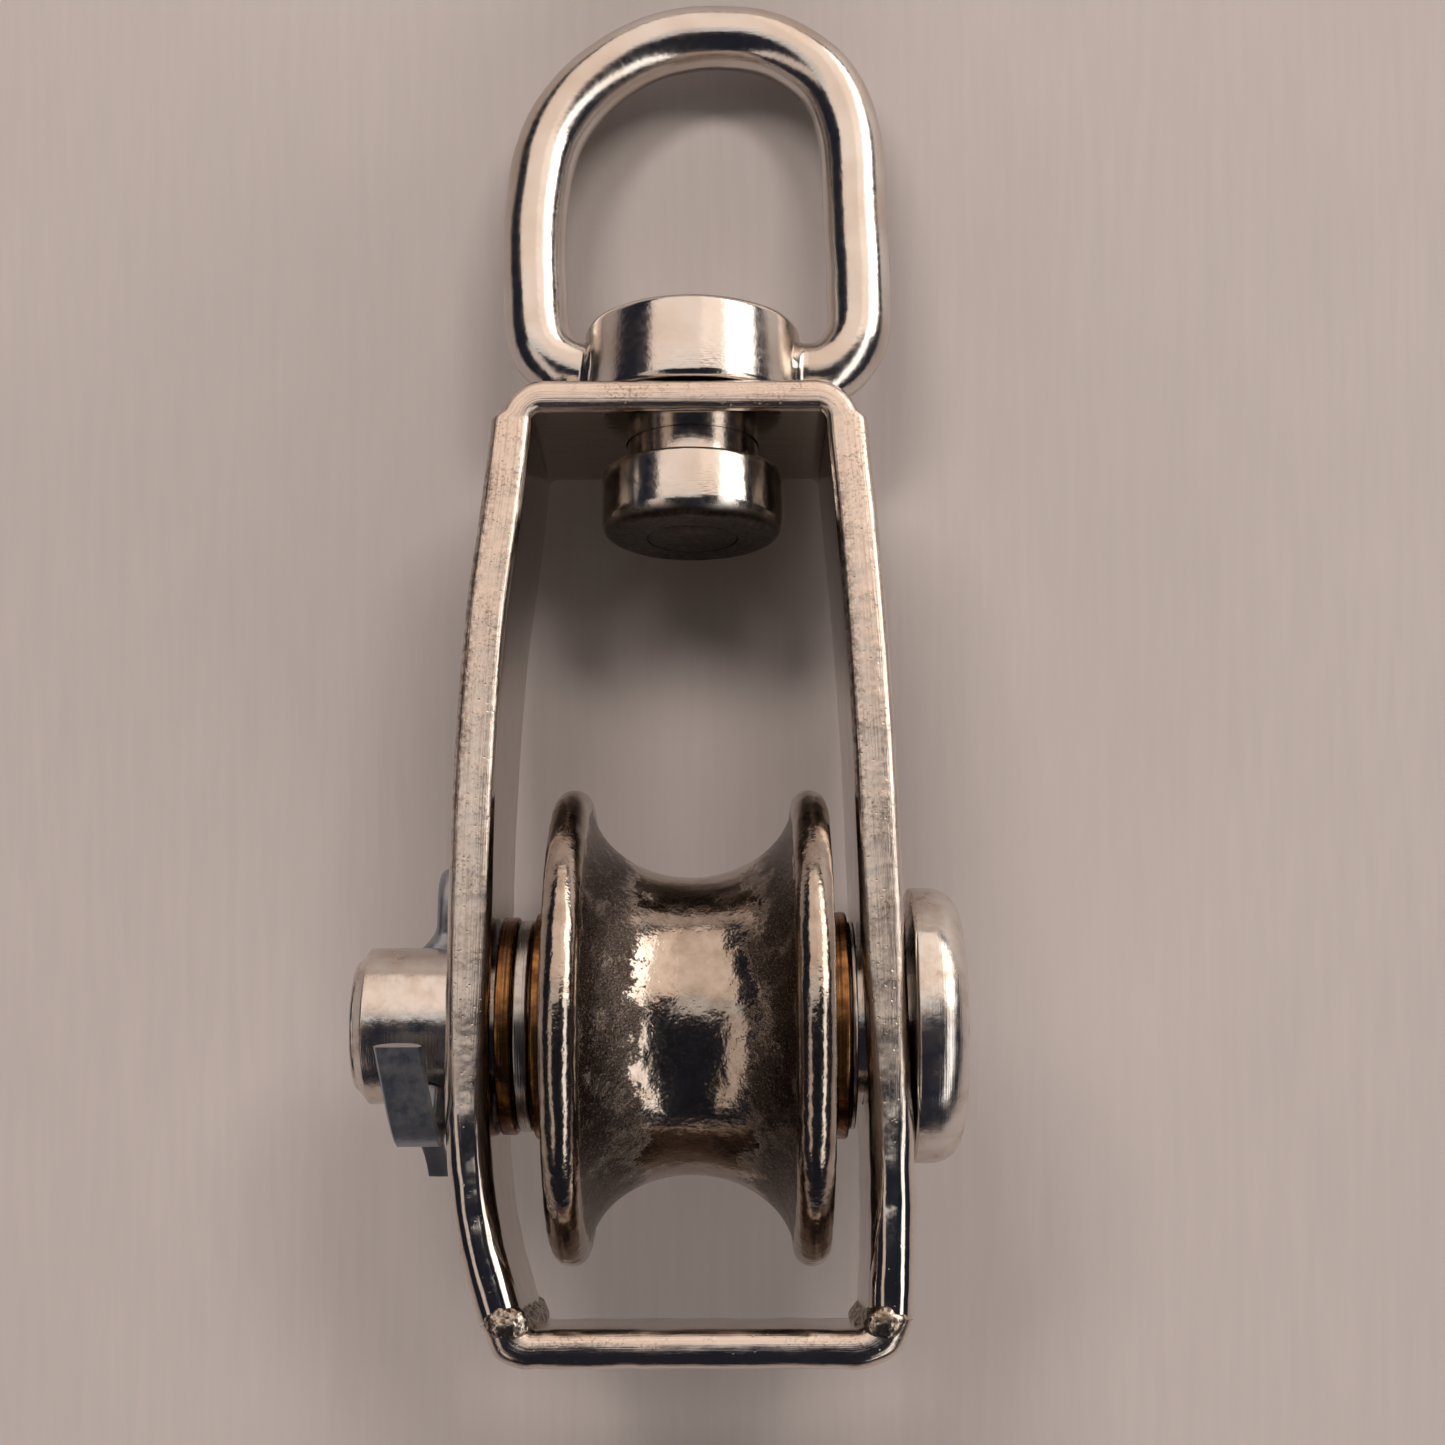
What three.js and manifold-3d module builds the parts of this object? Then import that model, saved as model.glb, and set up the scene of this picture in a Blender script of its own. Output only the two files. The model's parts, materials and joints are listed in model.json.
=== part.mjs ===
import * as THREE from 'three';
import { mergeVertices } from 'three/addons/utils/BufferGeometryUtils.js';
import Module from 'manifold-3d';

// A single sheave block with a swivel eye, in millimetres.
// The block is drawn about the centre of its sheave: X runs along the axle towards the axle's
// head, Y runs towards the eye and Z comes out of the front. At the end the whole block is laid
// down on its two sheave rims and the crown of its eye, as it lies on a table.

const wasm = await Module();
wasm.setup();

// Sheave, turned about the axle.
const SHEAVE_RADIUS = 15;
const RIM_BEAD_RADIUS = 1.15;
const RIM_CENTRE_X = 7.5;
const GROOVE_BOTTOM_RADIUS = 9.4;
const GROOVE_HALF_WIDTH = 6.5;
const GROOVE_HEIGHT = 5.2;
const GROOVE_ARC_ANGLE = 1.36;
const SHEAVE_BORE_RADIUS = 6.3;
const HUB_FACE_X = 8.5;
const HUB_RADIUS = 8.6;
const WEB_FACE_X = 8.0;
const WEB_OUTER_RADIUS = 12.4;
const WEB_SLOPE = 0.5;

// Flanged bushes pressed into the sheave from both sides.
const BUSH_OUTER_RADIUS = 6.25;
const BUSH_BORE_RADIUS = 5.03;
const BUSH_FLANGE_RADIUS = 7.2;
const BUSH_FLANGE_THICKNESS = 1.3;
const BUSH_INNER_END_X = 0.2;
const BUSH_EDGE = 0.2;
const BUSH_SEAT_GAP = 0.05;

// Loose washers between the bushes and the cheeks: inner face x, outer face x and radius.
const WASHER_BORE_RADIUS = 5.2;
const WASHER_EDGE = 0.15;
const SPACER_LEFT = { near: 10.0, far: 10.9, radius: 6.7 };
const THRUST_LEFT = { near: 11.0, far: 12.0, radius: 6.9 };
const SPACER_RIGHT = { near: 9.95, far: 10.3, radius: 6.6 };

// Axle: a clevis pin of 10 mm with its head on the right and a split pin on the left.
const AXLE_RADIUS = 4.95;
const AXLE_END_X = -21.3;
const AXLE_CHAMFER = 0.8;
const HEAD_RADIUS = 8.7;
const HEAD_INNER_X = 13.75;
const HEAD_OUTER_X = 17.3;
const HEAD_EDGE_RADIUS = 2;
const HEAD_INNER_EDGE = 0.3;
const HEAD_CROWN = 0.25;

// Split pin of 3.2 mm. It crosses the axle just outside the left cheek, its eye turned back.
const SPLIT_PIN_X = -16.6;
const SPLIT_PIN_TURN = THREE.MathUtils.degToRad(22);
const SPLIT_PIN_RADIUS = 1.45;
const SPLIT_HOLE_RADIUS = 1.6;
const LEG_GAP = 0.1;
const STEM_TOP_Y = 5.2;
const FRONT_LEG = [
  [0, STEM_TOP_Y, 0], [0, 0, 0], [0, -5.4, 0], [0, -7.8, 0.4], [0, -9.2, 1.9],
  [-0.15, -8.8, 3.7], [-0.55, -7.1, 5.6], [-0.95, -5.2, 7.5],
];
const BACK_LEG = [
  [0, STEM_TOP_Y, 0], [0, 0, 0], [0, -5.4, 0], [0, -7.4, 0.4], [0, -8.6, 1.4], [0, -9.2, 2.6],
];

// The split pin's eye is pressed narrow and leans towards the cheek.
const PIN_EYE_Y = 8.35;
const PIN_EYE_RADIUS = 2.1;
const PIN_EYE_WIRE = 0.7;
const PIN_EYE_HALF_WIDTH = 0.75;
const PIN_EYE_LEAN = 0.7;
const PIN_NECK_Y = 5.9;
const PIN_NECK_LENGTH = 2;

// Frame strap: a flat bar bent into a long U, its two cheeks drawn by their middle lines.
const STRAP_WIDTH = 15;
const STRAP_HALF_THICKNESS = 1.35;
const STRAP_EDGE = 0.4;
const BRIDGE_OUTER_Y = 41;
const BRIDGE_INNER_Y = 38.9;
const BEND_RADIUS = 3;
const BEND_START_Y = 38;
const BEND_STEP = 0.5;
const INNER_BEND = 0.6;
const LEFT_CHEEK = [
  [-11.55, 38], [-12.15, 32], [-12.85, 26], [-13.3, 19], [-13.52, 12],
  [-13.56, 4], [-13.56, -4], [-13.28, -9], [-12.55, -13.5], [-11.25, -17.75],
];
const RIGHT_CHEEK = [
  [10.1, 38], [10.62, 32], [11.05, 26], [11.42, 19], [11.72, 10],
  [12, 1], [12.2, -6], [12.2, -13], [11.95, -17.8],
];
const CHEEK_STEPS = 16;
const BEND_STEPS = 6;
const AXLE_HOLE_RADIUS = 5.05;

// Crossbar: a shallow U that closes the frame below the sheave, welded to the cheek ends.
const CROSSBAR_OUTER_Y = -20.75;
const CROSSBAR_INNER_Y = -18.45;
const WELD_GAP = 0.15;
const CROSSBAR_ARM = 1.2;
const CROSSBAR_LEFT = { cornerX: -11.5, flatX: -9.5, insideX: -9.6 };
const CROSSBAR_RIGHT = { cornerX: 12.8, flatX: 9.6, insideX: 10.5 };

// Swivel eye: ring, boss and shank in one forging, with a button riveted on the shank's end.
const SHANK_RADIUS = 4.4;
const SHANK_HOLE_RADIUS = 4.48;
const SPIGOT_RADIUS = 3;
const SPIGOT_RECESS = 0.2;
const SHOULDER_GAP = 0.05;
const BUTTON_BORE_RADIUS = 3.06;
const BUTTON_RADIUS = 6.1;
const BUTTON_TOP_Y = 36.9;
const BUTTON_BOTTOM_Y = 32.4;
const BUTTON_EDGE_RADIUS = 1.2;
const BUTTON_TOP_EDGE = 0.3;
const BOSS_RADIUS = 7.3;
const BOSS_BOTTOM_Y = 41.25;
const BOSS_TOP_Y = 47;
const BOSS_CHAMFER = 0.5;
const RING_ROD_RADIUS = 2.2;
const RING_CROWN_Y = 69.2;
const RING_LINE = [
  [-4, 44.1], [-8, 44.2], [-10.2, 45.9], [-10.85, 50.5], [-10.8, 56.5], [-9.7, 61.9],
  [-6.9, 65.8], [-2.9, 68.4], [1.6, RING_CROWN_Y], [5.8, 68.5], [9.4, 65.7], [10.9, 61.8],
  [11.2, 56], [11.4, 50.5], [11.1, 46.4], [9.2, 44.2], [4, 44.1],
];

const ROUND_SEGMENTS = 40;
const SMALL_SEGMENTS = 24;

// Lengths of the round tools that open the holes, each longer than the metal it goes through.
const CHEEKS_TOOL_LENGTH = 60;
const BRIDGE_TOOL_LENGTH = 20;
const AXLE_TOOL_LENGTH = 14;

// A closed surface becomes a solid that can be cut and joined, and back again.
function solid(geometry) {
  const plain = geometry.clone();
  plain.deleteAttribute('normal');
  plain.deleteAttribute('uv');
  const merged = mergeVertices(plain, 1e-4);
  const mesh = new wasm.Mesh({
    numProp: 3,
    vertProperties: new Float32Array(merged.attributes.position.array),
    triVerts: new Uint32Array(merged.index.array),
  });
  return new wasm.Manifold(mesh);
}

function surface(manifold) {
  const { vertProperties, triVerts } = manifold.getMesh();
  const geometry = new THREE.BufferGeometry();
  geometry.setAttribute('position', new THREE.BufferAttribute(vertProperties, 3));
  geometry.setIndex(new THREE.BufferAttribute(triVerts, 1));
  geometry.computeVertexNormals();
  return geometry;
}

// Points [radius, height] turned about the Y axis. The profile runs upwards on the outside.
function turned(profile, segments = ROUND_SEGMENTS) {
  const points = profile.map(([radius, height]) => new THREE.Vector2(radius, height));
  return new THREE.LatheGeometry(points, segments);
}

// The same about the X axis, with heights measured along +X.
function turnedAboutAxle(profile, segments = ROUND_SEGMENTS) {
  return turned(profile, segments).rotateZ(-Math.PI / 2);
}

// Points of an elliptical arc in [radius, height] order, from one angle to another.
function arc(radius, height, sizeRadius, sizeHeight, from, to, steps) {
  const points = [];
  for (let step = 0; step <= steps; step += 1) {
    const angle = from + ((to - from) * step) / steps;
    points.push([radius + sizeRadius * Math.cos(angle), height + sizeHeight * Math.sin(angle)]);
  }
  return points;
}

function mirrored(profile) {
  return profile.map(([radius, height]) => [radius, -height]).reverse();
}

function vectors(points) {
  return points.map(([x, y]) => new THREE.Vector2(x, y));
}

// A curve's points moved sideways by a distance, positive towards +X on a curve that runs down.
function offsetPoints(curve, distance) {
  const points = [];
  for (let step = 0; step <= CHEEK_STEPS; step += 1) {
    const at = step / CHEEK_STEPS;
    const tangent = curve.getTangent(at);
    const point = curve.getPoint(at);
    points.push([point.x - tangent.y * distance, point.y + tangent.x * distance]);
  }
  return points;
}

// A flat-bar section, drawn in X and Y, extruded across the bar's width with broken edges.
function flatBar(outline) {
  const shape = new THREE.Shape(vectors(outline));
  const geometry = new THREE.ExtrudeGeometry(shape, {
    depth: STRAP_WIDTH - 2 * STRAP_EDGE,
    bevelEnabled: true,
    bevelThickness: STRAP_EDGE,
    bevelSize: STRAP_EDGE,
    bevelOffset: -STRAP_EDGE,
    bevelSegments: 1,
  });
  return geometry.translate(0, 0, STRAP_EDGE - STRAP_WIDTH / 2);
}

// A section swept along a smooth line through points in space.
function swept(shape, points, steps, curveSegments = 10) {
  const line = new THREE.CatmullRomCurve3(points.map((point) => new THREE.Vector3(...point)));
  return new THREE.ExtrudeGeometry(shape, { extrudePath: line, steps, curveSegments });
}

// A plain cylinder along Y that opens a hole.
function roundTool(radius, length, segments) {
  return new THREE.CylinderGeometry(radius, radius, length, segments);
}

const leftLine = new THREE.SplineCurve(vectors(LEFT_CHEEK));
const rightLine = new THREE.SplineCurve(vectors(RIGHT_CHEEK));
const leftInside = offsetPoints(leftLine, STRAP_HALF_THICKNESS);
const leftOutside = offsetPoints(leftLine, -STRAP_HALF_THICKNESS);
const rightInside = offsetPoints(rightLine, -STRAP_HALF_THICKNESS);
const rightOutside = offsetPoints(rightLine, STRAP_HALF_THICKNESS);

function frameStrap() {
  const cornerLeft = leftOutside[0][0] + BEND_STEP + BEND_RADIUS;
  const cornerRight = rightOutside[0][0] - BEND_STEP - BEND_RADIUS;
  const leftBend = arc(cornerLeft, BEND_START_Y, BEND_RADIUS, BEND_RADIUS,
    Math.PI, Math.PI / 2, BEND_STEPS);
  const rightBend = arc(cornerRight, BEND_START_Y, BEND_RADIUS, BEND_RADIUS, Math.PI / 2, 0, BEND_STEPS);
  const innerLeft = leftInside[0][0];
  const innerRight = rightInside[0][0];
  const outline = [
    ...[...leftOutside].reverse(),
    ...leftBend,
    ...rightBend,
    ...rightOutside,
    ...[...rightInside].reverse(),
    [innerRight - INNER_BEND, BRIDGE_INNER_Y],
    [innerLeft + INNER_BEND, BRIDGE_INNER_Y],
    ...leftInside,
  ];
  const axleHole = roundTool(AXLE_HOLE_RADIUS, CHEEKS_TOOL_LENGTH, ROUND_SEGMENTS).rotateZ(-Math.PI / 2);
  const shankHole = roundTool(SHANK_HOLE_RADIUS, BRIDGE_TOOL_LENGTH, ROUND_SEGMENTS);
  shankHole.translate(0, BRIDGE_OUTER_Y, 0);
  const bar = solid(flatBar(outline.reverse()));
  return surface(bar.subtract(solid(axleHole)).subtract(solid(shankHole)));
}

// The crossbar's arms carry on the lines of the cheeks, so they start at the cheeks' ends.
function frameCrossbar() {
  const last = CHEEK_STEPS;
  const leftTangent = leftLine.getTangent(1);
  const rightTangent = rightLine.getTangent(1);
  const onwards = ([x, y], tangent, distance) => [x + tangent.x * distance, y + tangent.y * distance];
  const leftOuterEnd = onwards(leftOutside[last], leftTangent, WELD_GAP);
  const leftInnerEnd = onwards(leftInside[last], leftTangent, WELD_GAP);
  const rightOuterEnd = onwards(rightOutside[last], rightTangent, WELD_GAP);
  const rightInnerEnd = onwards(rightInside[last], rightTangent, WELD_GAP);
  const shape = new THREE.Shape();
  shape.moveTo(...leftInnerEnd);
  shape.lineTo(...leftOuterEnd);
  shape.lineTo(...onwards(leftOuterEnd, leftTangent, CROSSBAR_ARM));
  shape.quadraticCurveTo(CROSSBAR_LEFT.cornerX, CROSSBAR_OUTER_Y, CROSSBAR_LEFT.flatX, CROSSBAR_OUTER_Y);
  shape.lineTo(CROSSBAR_RIGHT.flatX, CROSSBAR_OUTER_Y);
  shape.quadraticCurveTo(CROSSBAR_RIGHT.cornerX, CROSSBAR_OUTER_Y, ...rightOuterEnd);
  shape.lineTo(...rightInnerEnd);
  shape.lineTo(CROSSBAR_RIGHT.insideX, CROSSBAR_INNER_Y);
  shape.lineTo(CROSSBAR_LEFT.insideX, CROSSBAR_INNER_Y);
  const outline = shape.getPoints(5).map(({ x, y }) => [x, y]);
  return flatBar(outline);
}

function sheave() {
  const right = [
    ...arc(GROOVE_BOTTOM_RADIUS + GROOVE_HEIGHT, 0, -GROOVE_HEIGHT, GROOVE_HALF_WIDTH,
      0, GROOVE_ARC_ANGLE, 8),
    ...arc(SHEAVE_RADIUS - RIM_BEAD_RADIUS, RIM_CENTRE_X, RIM_BEAD_RADIUS, RIM_BEAD_RADIUS,
      -Math.PI / 2, Math.PI / 2, 6),
    [WEB_OUTER_RADIUS + WEB_SLOPE, HUB_FACE_X],
    [WEB_OUTER_RADIUS, WEB_FACE_X],
    [HUB_RADIUS + WEB_SLOPE, WEB_FACE_X],
    [HUB_RADIUS, HUB_FACE_X],
    [SHEAVE_BORE_RADIUS, HUB_FACE_X],
  ];
  const left = mirrored(right.slice(1));
  return turnedAboutAxle([...left, ...right, left[0]]);
}

// One bush: a sleeve with a flange against the sheave's hub. Side is -1 left, +1 right.
function bush(side) {
  const flangeInner = HUB_FACE_X + BUSH_SEAT_GAP;
  const flangeOuter = flangeInner + BUSH_FLANGE_THICKNESS;
  const right = [
    [BUSH_BORE_RADIUS, BUSH_INNER_END_X],
    [BUSH_OUTER_RADIUS, BUSH_INNER_END_X],
    [BUSH_OUTER_RADIUS, flangeInner],
    [BUSH_FLANGE_RADIUS, flangeInner],
    [BUSH_FLANGE_RADIUS, flangeOuter - BUSH_EDGE],
    [BUSH_FLANGE_RADIUS - BUSH_EDGE, flangeOuter],
    [BUSH_BORE_RADIUS, flangeOuter],
    [BUSH_BORE_RADIUS, BUSH_INNER_END_X],
  ];
  return turnedAboutAxle(side > 0 ? right : mirrored(right));
}

// A flat ring on the axle with its outer edge broken on both faces.
function washer({ near, far, radius }, side) {
  const right = [
    [WASHER_BORE_RADIUS, near],
    [radius - WASHER_EDGE, near],
    [radius, near + WASHER_EDGE],
    [radius, far - WASHER_EDGE],
    [radius - WASHER_EDGE, far],
    [WASHER_BORE_RADIUS, far],
    [WASHER_BORE_RADIUS, near],
  ];
  return turnedAboutAxle(side > 0 ? right : mirrored(right));
}

function axlePin() {
  const edgeRadius = HEAD_RADIUS - HEAD_EDGE_RADIUS;
  const edgeX = HEAD_OUTER_X - HEAD_CROWN - HEAD_EDGE_RADIUS;
  const profile = [
    [0, AXLE_END_X],
    [AXLE_RADIUS - AXLE_CHAMFER, AXLE_END_X],
    [AXLE_RADIUS, AXLE_END_X + AXLE_CHAMFER],
    [AXLE_RADIUS, HEAD_INNER_X],
    [HEAD_RADIUS - HEAD_INNER_EDGE, HEAD_INNER_X],
    [HEAD_RADIUS, HEAD_INNER_X + HEAD_INNER_EDGE],
    ...arc(edgeRadius, edgeX, HEAD_EDGE_RADIUS, HEAD_EDGE_RADIUS, 0, Math.PI / 2, 4),
    [0, HEAD_OUTER_X],
  ];
  const hole = roundTool(SPLIT_HOLE_RADIUS, AXLE_TOOL_LENGTH, SMALL_SEGMENTS);
  hole.rotateX(-SPLIT_PIN_TURN).translate(SPLIT_PIN_X, 0, 0);
  return surface(solid(turnedAboutAxle(profile)).subtract(solid(hole)));
}

// Half-round wire. Its flat side faces the other leg before the legs are bent apart.
function halfRound() {
  const shape = new THREE.Shape();
  shape.absarc(-LEG_GAP / 2, 0, SPLIT_PIN_RADIUS - LEG_GAP / 2, Math.PI / 2, Math.PI * 1.5, false);
  shape.closePath();
  return shape;
}

// The split pin about its own middle, its stem along Y and its long leg bent round the front.
function splitPin() {
  const frontLeg = swept(halfRound(), FRONT_LEG, 28, 5);
  const backLeg = swept(halfRound(), BACK_LEG, 16, 5).rotateY(Math.PI);
  const loop = new THREE.TorusGeometry(PIN_EYE_RADIUS, PIN_EYE_WIRE, 8, SMALL_SEGMENTS);
  loop.rotateY(Math.PI / 2).scale(PIN_EYE_HALF_WIDTH / PIN_EYE_WIRE, 1, 1);
  loop.translate(PIN_EYE_LEAN, PIN_EYE_Y, 0);
  const slant = PIN_EYE_LEAN / PIN_NECK_LENGTH;
  const neck = new THREE.CylinderGeometry(PIN_EYE_HALF_WIDTH, SPLIT_PIN_RADIUS,
    PIN_NECK_LENGTH, SMALL_SEGMENTS);
  neck.applyMatrix4(new THREE.Matrix4().makeShear(0, 0, slant, 0, 0, 0));
  neck.translate(PIN_EYE_LEAN / 2, PIN_NECK_Y, 0);
  return surface(solid(frontLeg).add(solid(backLeg)).add(solid(loop)).add(solid(neck)));
}

function swivelEye() {
  const turnedPart = turned([
    [0, BUTTON_BOTTOM_Y + SPIGOT_RECESS],
    [SPIGOT_RADIUS, BUTTON_BOTTOM_Y + SPIGOT_RECESS],
    [SPIGOT_RADIUS, BUTTON_TOP_Y + SHOULDER_GAP],
    [SHANK_RADIUS, BUTTON_TOP_Y + SHOULDER_GAP],
    [SHANK_RADIUS, BOSS_BOTTOM_Y],
    [BOSS_RADIUS - BOSS_CHAMFER, BOSS_BOTTOM_Y],
    [BOSS_RADIUS, BOSS_BOTTOM_Y + BOSS_CHAMFER],
    [BOSS_RADIUS, BOSS_TOP_Y - BOSS_CHAMFER],
    [BOSS_RADIUS - BOSS_CHAMFER, BOSS_TOP_Y],
    [0, BOSS_TOP_Y],
  ]);
  const rod = new THREE.Shape();
  rod.absarc(0, 0, RING_ROD_RADIUS, 0, Math.PI * 2);
  const ring = swept(rod, RING_LINE.map(([x, y]) => [x, y, 0]), 52, 8);
  return surface(solid(turnedPart).add(solid(ring)));
}

function swivelButton() {
  const edge = BUTTON_EDGE_RADIUS;
  return turned([
    [BUTTON_BORE_RADIUS, BUTTON_BOTTOM_Y],
    ...arc(BUTTON_RADIUS - edge, BUTTON_BOTTOM_Y + edge, edge, edge, -Math.PI / 2, 0, 4),
    [BUTTON_RADIUS, BUTTON_TOP_Y - BUTTON_TOP_EDGE],
    [BUTTON_RADIUS - BUTTON_TOP_EDGE, BUTTON_TOP_Y],
    [BUTTON_BORE_RADIUS, BUTTON_TOP_Y],
    [BUTTON_BORE_RADIUS, BUTTON_BOTTOM_Y],
  ]);
}

const MATERIALS = {
  polished_stainless: { color: 0xc9c0b6, roughness: 0.16, metalness: 1 },
  cast_stainless: { color: 0xa89f96, roughness: 0.3, metalness: 1 },
  bronze: { color: 0x8a5426, roughness: 0.35, metalness: 1 },
  washer_steel: { color: 0x9b938c, roughness: 0.3, metalness: 1 },
};

const block = new THREE.Group();

function addPiece(name, geometry, finish) {
  const mesh = new THREE.Mesh(geometry, new THREE.MeshStandardMaterial(MATERIALS[finish]));
  mesh.name = name;
  block.add(mesh);
  return mesh;
}

addPiece('frame_strap', frameStrap(), 'polished_stainless');
addPiece('frame_crossbar', frameCrossbar(), 'polished_stainless');
addPiece('swivel_eye', swivelEye(), 'polished_stainless');
addPiece('swivel_button', swivelButton(), 'polished_stainless');
addPiece('sheave', sheave(), 'cast_stainless');
addPiece('bush_left', bush(-1), 'bronze');
addPiece('bush_right', bush(1), 'bronze');
addPiece('spacer_washer_left', washer(SPACER_LEFT, -1), 'washer_steel');
addPiece('thrust_washer_left', washer(THRUST_LEFT, -1), 'bronze');
addPiece('spacer_washer_right', washer(SPACER_RIGHT, 1), 'washer_steel');
addPiece('axle_pin', axlePin(), 'polished_stainless');
const pin = addPiece('split_pin', splitPin(), 'polished_stainless');
pin.position.x = SPLIT_PIN_X;
pin.rotation.x = -SPLIT_PIN_TURN;

// The block leans until the crown of the eye comes down to the level of the sheave's rims.
block.rotation.x = -Math.asin((SHEAVE_RADIUS - RING_ROD_RADIUS) / RING_CROWN_Y);
const extent = new THREE.Box3().setFromObject(block, true);
const middle = extent.getCenter(new THREE.Vector3());
block.position.set(-middle.x, -middle.y, -extent.min.z);

const part = new THREE.Group();
part.add(block);

export default part;
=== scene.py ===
import json
import math

import bmesh
import bpy
import numpy as np
from mathutils import Matrix, Vector, noise


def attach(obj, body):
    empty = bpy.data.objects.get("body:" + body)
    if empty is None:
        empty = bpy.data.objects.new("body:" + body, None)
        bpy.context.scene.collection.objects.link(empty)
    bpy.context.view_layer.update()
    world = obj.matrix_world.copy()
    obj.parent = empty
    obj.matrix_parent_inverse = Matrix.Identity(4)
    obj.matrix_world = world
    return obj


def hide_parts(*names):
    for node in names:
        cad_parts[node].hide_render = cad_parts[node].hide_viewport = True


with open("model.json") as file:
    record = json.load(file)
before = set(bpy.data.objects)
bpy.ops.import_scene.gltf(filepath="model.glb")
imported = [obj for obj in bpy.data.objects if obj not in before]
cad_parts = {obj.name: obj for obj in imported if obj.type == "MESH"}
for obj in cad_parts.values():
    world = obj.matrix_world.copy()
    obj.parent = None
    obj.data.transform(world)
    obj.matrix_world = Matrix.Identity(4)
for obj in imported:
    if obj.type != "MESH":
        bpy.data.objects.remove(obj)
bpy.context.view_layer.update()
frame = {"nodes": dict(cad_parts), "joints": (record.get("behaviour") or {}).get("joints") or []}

# ---------------------------------------------------------------------------------------------
# The block's own frame, in millimetres: X along the axle towards its head, Y towards the eye,
# Z out of the front, origin at the sheave's centre. It comes from the joints of the record.
# ---------------------------------------------------------------------------------------------
JOINTS = {joint["name"]: joint for joint in frame["joints"]}
AXLE_AXIS = Vector(JOINTS["axle_spin"]["axis"]).normalized()
SWIVEL_AXIS = Vector(JOINTS["swivel_spin"]["axis"]).normalized()
FRONT_AXIS = AXLE_AXIS.cross(SWIVEL_AXIS)
CENTRE = Vector(JOINTS["sheave_spin"]["pos_m"])
TURN = Matrix((AXLE_AXIS, SWIVEL_AXIS, FRONT_AXIS)).transposed()
MM = 0.001
BLOCK = Matrix.Translation(CENTRE) @ TURN.to_4x4() @ Matrix.Scale(MM, 4)
BLOCK_INVERSE = BLOCK.inverted()


def extent(node):
    """Lowest and highest corner of a CAD node in the block's frame, in millimetres."""
    corners = [BLOCK_INVERSE @ vertex.co for vertex in frame["nodes"][node].data.vertices]
    low = Vector(min(corner[axis] for corner in corners) for axis in range(3))
    high = Vector(max(corner[axis] for corner in corners) for axis in range(3))
    return low, high


STRAP_HIGH = extent("frame_strap")[1]
BAR_LOW = extent("frame_crossbar")[0]
SHEAVE_LOW, SHEAVE_HIGH = extent("sheave")
PIN_LOW, PIN_HIGH = extent("axle_pin")
BUTTON_LOW, BUTTON_HIGH = extent("swivel_button")

HALF_WIDTH = STRAP_HIGH.z
SHEAVE_RADIUS = (SHEAVE_HIGH.y - SHEAVE_LOW.y) / 2
SHEAVE_FACE = SHEAVE_HIGH.x
AXLE_RADIUS = 4.95
AXLE_HOLE = 5.05
SHANK_HOLE = 4.48

# ---------------------------------------------------------------------------------------------
# Mesh helpers
# ---------------------------------------------------------------------------------------------


def ease(low, high, value):
    """0 below low, 1 above high and smooth between."""
    part = min(1.0, max(0.0, (value - low) / (high - low)))
    return part * part * (3 - 2 * part)


def between(start, end, share):
    """The pair that lies a share of the way from one pair to another."""
    return start[0] + (end[0] - start[0]) * share, start[1] + (end[1] - start[1]) * share


def curve_through(points, steps):
    """Points of a smooth line (centripetal Catmull-Rom) through the given ones."""
    known = [np.array(point, float) for point in points]
    known = [2 * known[0] - known[1], *known, 2 * known[-1] - known[-2]]
    line = []
    for a, b, c, d in zip(known, known[1:], known[2:], known[3:]):
        t0 = 0.0
        t1 = t0 + math.sqrt(np.linalg.norm(b - a))
        t2 = t1 + math.sqrt(np.linalg.norm(c - b))
        t3 = t2 + math.sqrt(np.linalg.norm(d - c))
        for t in np.linspace(t1, t2, steps, endpoint=False):
            ab = ((t1 - t) * a + (t - t0) * b) / (t1 - t0)
            bc = ((t2 - t) * b + (t - t1) * c) / (t2 - t1)
            cd = ((t3 - t) * c + (t - t2) * d) / (t3 - t2)
            abc = ((t2 - t) * ab + (t - t0) * bc) / (t2 - t0)
            bcd = ((t3 - t) * bc + (t - t1) * cd) / (t3 - t1)
            line.append(((t2 - t) * abc + (t - t1) * bcd) / (t2 - t1))
    line.append(known[-2])
    return np.array(line)


def tangents_of(line):
    along = np.gradient(line, axis=0)
    return along / np.linalg.norm(along, axis=1)[:, None]


def arc(centre_a, centre_b, radius_a, radius_b, start, end, steps):
    """Points (a, b) of an elliptical arc between two angles."""
    angles = np.linspace(start, end, steps + 1)
    return [(centre_a + radius_a * math.cos(t), centre_b + radius_b * math.sin(t)) for t in angles]


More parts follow.
